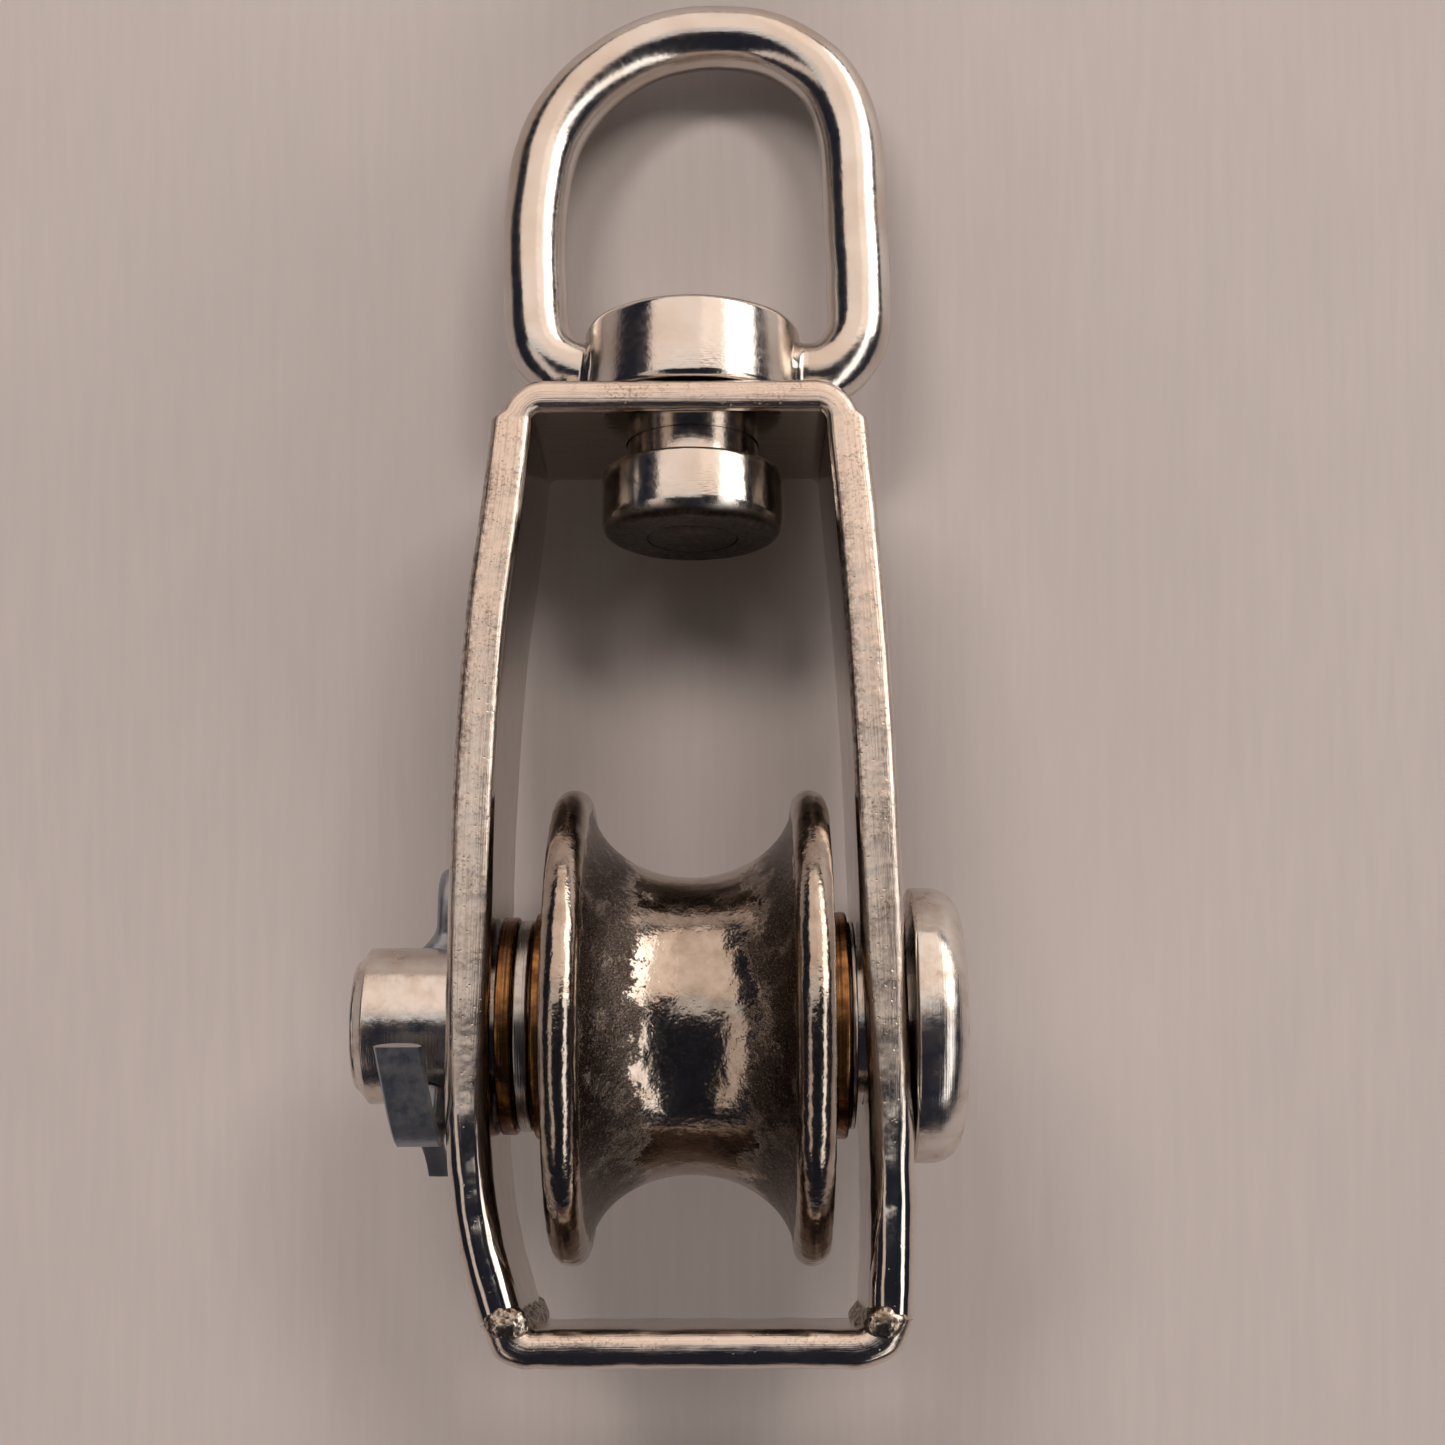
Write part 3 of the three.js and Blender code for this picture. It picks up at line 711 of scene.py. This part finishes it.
def weld_bead(name, centre, reach, tilt, seed):
    """A lumpy fillet through the bar's width at a corner of the frame. Reach is the bead's half
    length and half thickness, tilt its lean in the block's face."""
    top = HALF_WIDTH - WELD_INSET
    stations = [(-top - rise, share) for rise, share in WELD_CAP[::-1]]
    stations += [(z, 1.0) for z in np.linspace(-top, top, 26)[1:-1]]
    stations += [(top + rise, share) for rise, share in WELD_CAP]
    lean = math.radians(tilt)
    sections = []
    for z, share in stations:
        drift = WELD_DRIFT * noise.noise(Vector((seed, z * 0.6, 0.0)))
        ring = []
        for angle in np.linspace(0, 2 * math.pi, 40, endpoint=False):
            spot = Vector((math.cos(angle), math.sin(angle), z * 0.5)) * 1.4
            lump = 1 + WELD_LUMP * noise.noise(spot + Vector((seed, 0, 0)))
            a = reach[0] * math.cos(angle) * lump * share
            b = reach[1] * math.sin(angle) * lump * share
            x = centre[0] + a * math.cos(lean) - b * math.sin(lean) + drift
            y = centre[1] + a * math.sin(lean) + b * math.cos(lean) + drift
            ring.append((x, y, z))
        sections.append(ring)
    bead = loft(name, sections, wobble=ripple(0.13, 1.1, seed))
    return finish_piece(bead, "frame", WELD, sharp_degrees=80)


# ---------------------------------------------------------------------------------------------
# Swivel: eye and button
# ---------------------------------------------------------------------------------------------
RING_ROD = 2.2
RING_LINE = [
    (-4, 44.1), (-8, 44.2), (-10.2, 45.9), (-10.85, 50.5), (-10.8, 56.5), (-9.7, 61.9),
    (-6.9, 65.8), (-2.9, 68.4), (1.6, 69.2), (5.8, 68.5), (9.4, 65.7), (10.9, 61.8),
    (11.2, 56), (11.4, 50.5), (11.1, 46.4), (9.2, 44.2), (4, 44.1),
]
BOSS_RADIUS = 7.3
BOSS_BOTTOM = 41.25
BOSS_TOP = 47.0
BOSS_EDGE = 0.55
FILLET = 0.62
SHANK_RADIUS = 4.4
SPIGOT_RADIUS = 3.0
BUTTON_EDGE = 1.2
BUTTON_TOP_EDGE = 0.35
BUTTON_BORE = SPIGOT_RADIUS + 0.06


def sawn_end_and_shade_mark(point):
    """1 on the sawn lower end of the button and spigot, which is dull and darkened with painted
    shade.
    """
    return 1 - ease(BUTTON_LOW.y + 0.25, BUTTON_LOW.y + 1.0, point[1])


def swivel_eye():
    """Ring, boss and shank. The ring's arms flare where they run into the boss."""
    line = curve_through(RING_LINE, 14)
    along = tangents_of(line)
    sections = []
    for (x, y), (tx, ty) in zip(line, along):
        clear = abs(x) - math.sqrt(max(0.0, BOSS_RADIUS ** 2 - RING_ROD ** 2)) if y < 46 else 9.0
        reach = min(max(clear, 0.0), FILLET)
        radius = RING_ROD + FILLET - math.sqrt(FILLET ** 2 - (FILLET - reach) ** 2)
        across = np.array([-ty, tx, 0.0])
        centre = np.array([x, y, 0.0])
        ring = []
        for angle in np.linspace(0, 2 * math.pi, 40, endpoint=False):
            forward = np.array([0, 0, radius * math.sin(angle)])
            ring.append(centre + across * radius * math.cos(angle) + forward)
        sections.append(ring)
    ring = loft("eye_forging", sections, wobble=ripple(0.045, 0.33, 4.0))
    edge = BOSS_EDGE
    end = BUTTON_LOW.y
    profile = [(end + 0.02, 0.0), (end + 0.02, 0.3), (end - 0.02, 0.5)]
    profile += [(end - 0.01, SPIGOT_RADIUS - 0.08), (end + 0.07, SPIGOT_RADIUS)]
    profile += [(BUTTON_HIGH.y + 0.05, SPIGOT_RADIUS), (BUTTON_HIGH.y + 0.05, SHANK_RADIUS)]
    profile += [(BOSS_BOTTOM, SHANK_RADIUS)]
    profile += arc(BOSS_BOTTOM + edge, BOSS_RADIUS - edge, -edge, edge, 0, math.pi / 2, 6)
    profile += arc(BOSS_TOP - edge, BOSS_RADIUS - edge, edge, edge, math.pi / 2, 0, 6)
    profile += [(BOSS_TOP, BOSS_RADIUS - 1.2), (BOSS_TOP - 0.05, 0.0)]
    boss = turned("boss", profile, 128, axis="Y", wobble=ripple(0.03, 0.4, 9.0))
    join(ring, boss)
    mark(ring, "sawn_end_and_shade", sawn_end_and_shade_mark)
    return finish_piece(ring, "swivel", MIRROR, ["swivel_eye"], sharp_degrees=50)


def swivel_button():
    """Round head on the shank's inner end, with a rounded lower edge."""
    radius = BUTTON_HIGH.x
    edge = BUTTON_EDGE
    top_edge = BUTTON_TOP_EDGE
    profile = [(BUTTON_LOW.y, BUTTON_BORE)]
    profile += arc(BUTTON_LOW.y + edge, radius - edge, -edge, edge, 0, math.pi / 2, 12)
    top = BUTTON_HIGH.y - top_edge
    profile += arc(top, radius - top_edge, top_edge, top_edge, math.pi / 2, 0, 6)
    profile += [(BUTTON_HIGH.y, BUTTON_BORE)]
    button = turned("shank_button", profile, 96, axis="Y", wobble=ripple(0.03, 0.5, 2.0))
    mark(button, "sawn_end_and_shade", sawn_end_and_shade_mark)
    return finish_piece(button, "swivel", MIRROR, ["swivel_button"])


# ---------------------------------------------------------------------------------------------
# Wheel: sheave and bushes
# ---------------------------------------------------------------------------------------------
RIM_BEAD = 1.15
RIM_CENTRE = SHEAVE_FACE - RIM_BEAD
GROOVE_BOTTOM = 9.4
GROOVE_HALF = 6.5
GROOVE_HEIGHT = 5.2
HUB_FACE = 8.5
WEB_FACE = 8.0
WEB_OUTER = 12.4
HUB_RADIUS = 8.6
SHEAVE_BORE = 6.3
SHEAVE_SEGMENTS = 224
BUSH_BORE = 5.03
BUSH_OUTER = 6.25
BUSH_INNER_END = 0.2
BUSH_EDGE = 0.25
WASHER_BORE = 5.2
WASHER_EDGE = 0.18
RING_SEGMENTS = 120
BAND_SHIFT = 0.3


def satin_mark(point):
    """1 on the grainy flanks between the polished groove bottom and the polished rims."""
    x = abs(point[0])
    radius = math.hypot(point[1], point[2])
    flank = ease(2.3, 5.2, abs(point[0] - BAND_SHIFT))
    flank *= 1 - ease(SHEAVE_RADIUS - 1.9, SHEAVE_RADIUS - 1.1, radius)
    side = ease(WEB_FACE - 0.5, WEB_FACE - 0.1, x) * (1 - ease(WEB_OUTER, WEB_OUTER + 0.8, radius))
    return max(flank, side)


def sheave_wobble(point):
    radius = math.hypot(point[1], point[2])
    rim = ease(12.5, 14.0, radius)
    soft = noise.noise(Vector(point) * 0.30)
    quick = noise.noise(Vector(point) * 1.25)
    return (0.03 + 0.012 * rim) * soft + (0.006 + 0.022 * rim) * quick


def sheave():
    groove_centre = GROOVE_BOTTOM + GROOVE_HEIGHT
    groove = arc(0, groove_centre, GROOVE_HALF, -GROOVE_HEIGHT, math.pi / 2, 0.21, 44)
    right = [(x, radius) for x, radius in groove]
    right += arc(RIM_CENTRE, SHEAVE_RADIUS - RIM_BEAD, RIM_BEAD, RIM_BEAD, math.pi, 0, 26)
    right += [
        (HUB_FACE + 0.02, WEB_OUTER + 0.9),
        (HUB_FACE - 0.12, WEB_OUTER + 0.55),
        (WEB_FACE + 0.1, WEB_OUTER + 0.12),
        (WEB_FACE, WEB_OUTER - 0.2),
        (WEB_FACE, (WEB_OUTER + HUB_RADIUS) / 2),
        (WEB_FACE, HUB_RADIUS + 0.7),
        (WEB_FACE + 0.1, HUB_RADIUS + 0.45),
        (HUB_FACE - 0.1, HUB_RADIUS + 0.1),
        (HUB_FACE, HUB_RADIUS - 0.15),
        (HUB_FACE, SHEAVE_BORE),
    ]
    left = [(-x, radius) for x, radius in right[1:]]
    wheel = turned("sheave_casting", left[::-1] + right, SHEAVE_SEGMENTS, wobble=sheave_wobble)
    mark(wheel, "satin", satin_mark)
    return finish_piece(wheel, "wheel", CAST, ["sheave"])


def side_profile(profile, side):
    return [(side * x, radius) for x, radius in profile]


def bush(name, node, side):
    low, high = extent(node)
    outer = max(abs(low.x), abs(high.x))
    flange = high.y
    inner = HUB_FACE + 0.05
    edge = BUSH_EDGE
    profile = [(BUSH_INNER_END, BUSH_BORE), (BUSH_INNER_END, BUSH_OUTER), (inner, BUSH_OUTER)]
    profile += [(inner, flange - 0.1)]
    profile += arc(outer - edge, flange - edge, edge, edge, math.pi / 2, 0, 5)
    profile += [(outer, BUSH_BORE)]
    wobble = ripple(0.02, 0.8, 3.0 + side)
    piece = turned(name, side_profile(profile, side), RING_SEGMENTS, wobble=wobble)
    return finish_piece(piece, "wheel", BRONZE, [node])


def washer(name, node, body, material, side):
    low, high = extent(node)
    near, far = sorted((abs(low.x), abs(high.x)))
    radius = high.y
    edge = min(WASHER_EDGE, (far - near) * 0.35)
    profile = [(near, WASHER_BORE)]
    profile += arc(near + edge, radius - edge, -edge, edge, 0, math.pi / 2, 4)
    profile += arc(far - edge, radius - edge, edge, edge, math.pi / 2, 0, 4)
    profile += [(far, WASHER_BORE)]
    wobble = ripple(0.012, 0.9, 6.0 + near)
    piece = turned(name, side_profile(profile, side), RING_SEGMENTS, wobble=wobble)
    return finish_piece(piece, body, material, [node])


# ---------------------------------------------------------------------------------------------
# Axle: clevis pin and split pin
# ---------------------------------------------------------------------------------------------
HEAD_INNER = 13.75
HEAD_EDGE = 2.0
HEAD_CROWN = 0.25
SPLIT_X = -16.6
SPLIT_TURN = math.radians(22)
SPLIT_HALF = 1.45
SPLIT_HOLE = 1.6
SPLIT_STEPS = 9
PIN_EYE_LEAN = 0.7
PIN_FRONT_LEG = [
    (-0.95, -5.2, 7.5), (-0.55, -7.1, 5.6), (-0.15, -8.8, 3.7), (0, -9.2, 1.9), (0, -7.8, 0.4),
    (0, -5.4, 0),
]
PIN_RISE = [
    (0, 0, 0), (0.1, 4.6, 0), (0.55, 6.2, 0.6), (PIN_EYE_LEAN, 7.4, 1.6),
    (PIN_EYE_LEAN, 8.5, 1.95), (PIN_EYE_LEAN, 9.6, 1.5),
]
PIN_EYE_TOP = (PIN_EYE_LEAN, 10.05, 0)
PIN_BACK_LEG = [(0, -5.4, 0.0), (0.3, -7.4, -0.4), (0.7, -8.6, -1.4), (0.8, -9.2, -2.6)]
CUT_END_RINGS = 3
CUT_END_BEVEL = -0.15


def axle_pin():
    end = PIN_LOW.x
    head_outer = PIN_HIGH.x
    head_radius = PIN_HIGH.y
    profile = [(end + 0.12, 0.0), (end + 0.06, 2.4)]
    profile += arc(end + 0.25, AXLE_RADIUS - 1.05, -0.25, 0.25, 0, math.pi / 2, 4)
    profile += arc(end + 0.95, AXLE_RADIUS - 0.25, -0.22, 0.25, 0.6, math.pi / 2, 5)
    profile += [(x, AXLE_RADIUS) for x in np.linspace(end + 2, HEAD_INNER - 0.3, 40)]
    profile += arc(HEAD_INNER + 0.3, head_radius - 0.3, -0.3, 0.3, 0, math.pi / 2, 5)
    profile += arc(
        head_outer - HEAD_CROWN - HEAD_EDGE, head_radius - HEAD_EDGE,
        HEAD_EDGE, HEAD_EDGE, math.pi / 2, 0.12, 16,
    )
    profile += [(head_outer - 0.12, 4.2), (head_outer - 0.02, 2.0), (head_outer, 0.0)]
    pin = turned("clevis_pin", profile, 144, wobble=ripple(0.03, 0.45, 5.0))
    hole = round_hole(SPLIT_HOLE, -9, 9, "Y", 40)
    middle = BLOCK @ Vector((SPLIT_X, 0, 0))
    tilt = Matrix.Rotation(-SPLIT_TURN, 4, AXLE_AXIS)
    to_origin = Matrix.Translation(-(BLOCK @ Vector((0, 0, 0))))
    hole.data.transform(Matrix.Translation(middle) @ tilt @ to_origin)
    cut(pin, hole)
    return finish_piece(pin, "axle", PIN, ["axle_pin"])


def half_round():
    """Points (a, b) of the wire's section: a towards the flat side, b across, edges broken."""
    gap = 0.06
    soft = 0.16
    loop = [(-gap, -SPLIT_HALF + soft), (-gap, 0.0), (-gap, SPLIT_HALF - soft)]
    radius = SPLIT_HALF - gap
    for angle in np.linspace(math.radians(84), math.radians(-84), 21):
        loop.append((-gap - radius * math.cos(angle) ** 0.75 * 0.97, SPLIT_HALF * math.sin(angle)))
    return loop


def split_pin():
    """One half-round wire: front leg, stem, eye, stem and back leg, its flat side inwards."""
    eye = PIN_RISE + [PIN_EYE_TOP] + [(x, y, -z) for x, y, z in PIN_RISE[::-1]]
    line = curve_through(PIN_FRONT_LEG + eye + PIN_BACK_LEG, SPLIT_STEPS)
    along = tangents_of(line)
    section = half_round()
    sections = []
    for place, (centre, ahead) in enumerate(zip(line, along)):
        flat_side = np.array([0.0, ahead[2], -ahead[1]])
        flat_side /= np.linalg.norm(flat_side)
        across = np.array([1.0, 0.0, 0.0])
        narrow = 1 - 0.5 * ease(4.8, 6.8, centre[1])
        if place > len(line) / 2:
            narrow -= 0.5 * ease(5.6, 8.2, -centre[1])
        bevel = CUT_END_BEVEL if place < CUT_END_RINGS else 0.0
        depth = min(1.0, narrow + 0.2)
        ring = []
        for a, b in section:
            ring.append(centre + flat_side * a * depth + across * b * narrow + ahead * a * bevel)
        sections.append(ring)
    turn = np.array(Matrix.Rotation(-SPLIT_TURN, 3, "X"))
    sections = np.array(sections) @ turn.T + np.array([SPLIT_X, 0, 0])
    wire = loft("split_pin_wire", sections, wobble=ripple(0.02, 0.9, 8.0))
    return finish_piece(wire, "axle", SPLIT, ["split_pin"], sharp_degrees=30)


# ---------------------------------------------------------------------------------------------
# The object
# ---------------------------------------------------------------------------------------------
left_end, right_end = frame_strap()
frame_crossbar(left_end, right_end)
weld_bead("weld_bead_left", (-10.8, -18.15), (1.45, 1.15), -18, 1.0)
weld_bead("weld_bead_right", (11.55, -18.1), (1.4, 1.05), 14, 5.0)
swivel_eye()
swivel_button()
sheave()
bush("bush_left_bronze", "bush_left", -1)
bush("bush_right_bronze", "bush_right", 1)
washer("thrust_ring_left", "thrust_washer_left", "thrust_washer", BRONZE, -1)
washer("spacer_ring_left", "spacer_washer_left", "left_spacer", WASHER, -1)
washer("spacer_ring_right", "spacer_washer_right", "right_spacer", WASHER, 1)
axle_pin()
split_pin()

# ---------------------------------------------------------------------------------------------
# Stage: pale table, studio light and camera
# ---------------------------------------------------------------------------------------------
CEILING = 0.62
CREAM = (1.0, 0.83, 0.71)
PALE = (1.0, 0.95, 0.90)
TABLE_WARM = (1.0, 0.90, 0.85)


def flat_piece(name, width, length, place, material):
    """A flat staged sheet that lies level."""
    mesh = bmesh.new()
    bmesh.ops.create_grid(mesh, x_segments=1, y_segments=1, size=0.5)
    data = bpy.data.meshes.new(name)
    mesh.to_mesh(data)
    mesh.free()
    data.transform(Matrix.Diagonal((width, length, 1, 1)))
    data.materials.append(material)
    piece = bpy.data.objects.new(name, data)
    piece.location = place
    bpy.context.scene.collection.objects.link(piece)
    return piece


def panel(name, corner_low, corner_high, radiance, colour):
    """A soft light panel between two edges along X: corner_low and corner_high are opposite
    corners (x, y, z). It shines towards the block."""
    low, high = Vector(corner_low), Vector(corner_high)
    width = high.x - low.x
    run = Vector((0.0, high.y - low.y, high.z - low.z))
    light = bpy.data.lights.new(name, "AREA")
    light.shape = "RECTANGLE"
    light.size = width
    light.size_y = run.length
    light.energy = radiance * math.pi * width * run.length
    light.color = colour
    lamp = bpy.data.objects.new(name, light)
    lamp.location = (low + high) / 2
    lamp.rotation_euler = (math.atan2(run.z, run.y), 0.0, 0.0)
    lamp.visible_diffuse = False
    bpy.context.scene.collection.objects.link(lamp)
    return lamp


def table_lamp(name, place, width, height, radiance, colour):
    """A soft lamp that lights the table but isn't mirrored by the metal, aimed at the block."""
    light = bpy.data.lights.new(name, "AREA")
    light.shape = "RECTANGLE"
    light.size = width
    light.size_y = height
    light.energy = radiance * math.pi * width * height
    light.color = colour
    lamp = bpy.data.objects.new(name, light)
    lamp.location = place
    lamp.rotation_euler = Vector(place).to_track_quat("Z", "Y").to_euler()
    lamp.visible_glossy = False
    bpy.context.scene.collection.objects.link(lamp)
    return lamp


FLOOR_SIZE = 6.0
FLOOR_DROP = 0.0002
flat_piece("floor", FLOOR_SIZE, FLOOR_SIZE, (0, 0, -FLOOR_DROP), floor_paint())

panel("key_panel", (-0.60, 0.29, CEILING), (0.12, 1.75, 0.10), 1.12, CREAM)
panel("key_panel_near", (-0.60, 0.125, CEILING), (0.12, 0.288, CEILING), 0.80, PALE)
panel("key_panel_inner", (0.12, 0.29, CEILING), (0.50, 1.75, 0.10), 1.40, CREAM)
panel("window_panel", (0.50, 0.29, CEILING), (1.45, 1.35, 0.242), 3.6, PALE)
panel("right_panel", (0.45, -1.25, CEILING), (0.87, 0.28, CEILING), 2.0, PALE)
panel("left_panel", (-0.78, -1.05, CEILING), (-0.40, 0.16, CEILING), 0.75, CREAM)

for side in (-1, 1):
    table_lamp("table_key", (0.22 * side, 0.43, 0.575), 0.34, 0.12, 16.8, TABLE_WARM)
table_lamp("table_fill", (0.10, -0.60, 0.36), 1.20, 0.25, 4.0, TABLE_WARM)

# A soft room light falls on the table; what the metal mirrors of the room is nearly black.
ROOM_LIGHT = (0.045, 0.039, 0.037, 1.0)
ROOM_MIRRORED = (0.016, 0.018, 0.028, 1.0)


def room():
    world = bpy.data.worlds.new("studio")
    world.use_nodes = True
    nodes, links = world.node_tree.nodes, world.node_tree.links
    path = nodes.new("ShaderNodeLightPath")
    mix = nodes.new("ShaderNodeMix")
    mix.data_type = "RGBA"
    mix.inputs[6].default_value = ROOM_LIGHT
    mix.inputs[7].default_value = ROOM_MIRRORED
    links.new(path.outputs["Is Glossy Ray"], mix.inputs[0])
    links.new(mix.outputs[2], nodes["Background"].inputs["Color"])
    bpy.context.scene.world = world


room()
bpy.context.scene.view_settings.view_transform = "Standard"

# The camera looks almost straight down on the lying block.
CAMERA_PLACE = Vector((2.748, -11.677, 144.225))
CAMERA_PITCH = math.radians(12.312)
CAMERA_YAW = math.radians(0.293)
CAMERA_ROLL = math.radians(-0.184)
SENSOR_WIDTH = 36.0
FRAME_SIZE = 1445
FOCAL_SHARE = 2242.1 / FRAME_SIZE

camera_data = bpy.data.cameras.new("camera")
camera_data.sensor_width = SENSOR_WIDTH
camera_data.lens = FOCAL_SHARE * camera_data.sensor_width
camera_data.clip_start = 0.01
camera = bpy.data.objects.new("camera", camera_data)
aim = Matrix.Rotation(CAMERA_PITCH, 3, "X") @ Matrix.Rotation(CAMERA_YAW, 3, "Y")
aim = aim @ Matrix.Rotation(CAMERA_ROLL, 3, "Z")
camera.matrix_world = Matrix.Translation(BLOCK @ CAMERA_PLACE) @ (TURN @ aim).to_4x4()
bpy.context.scene.collection.objects.link(camera)
bpy.context.scene.camera = camera
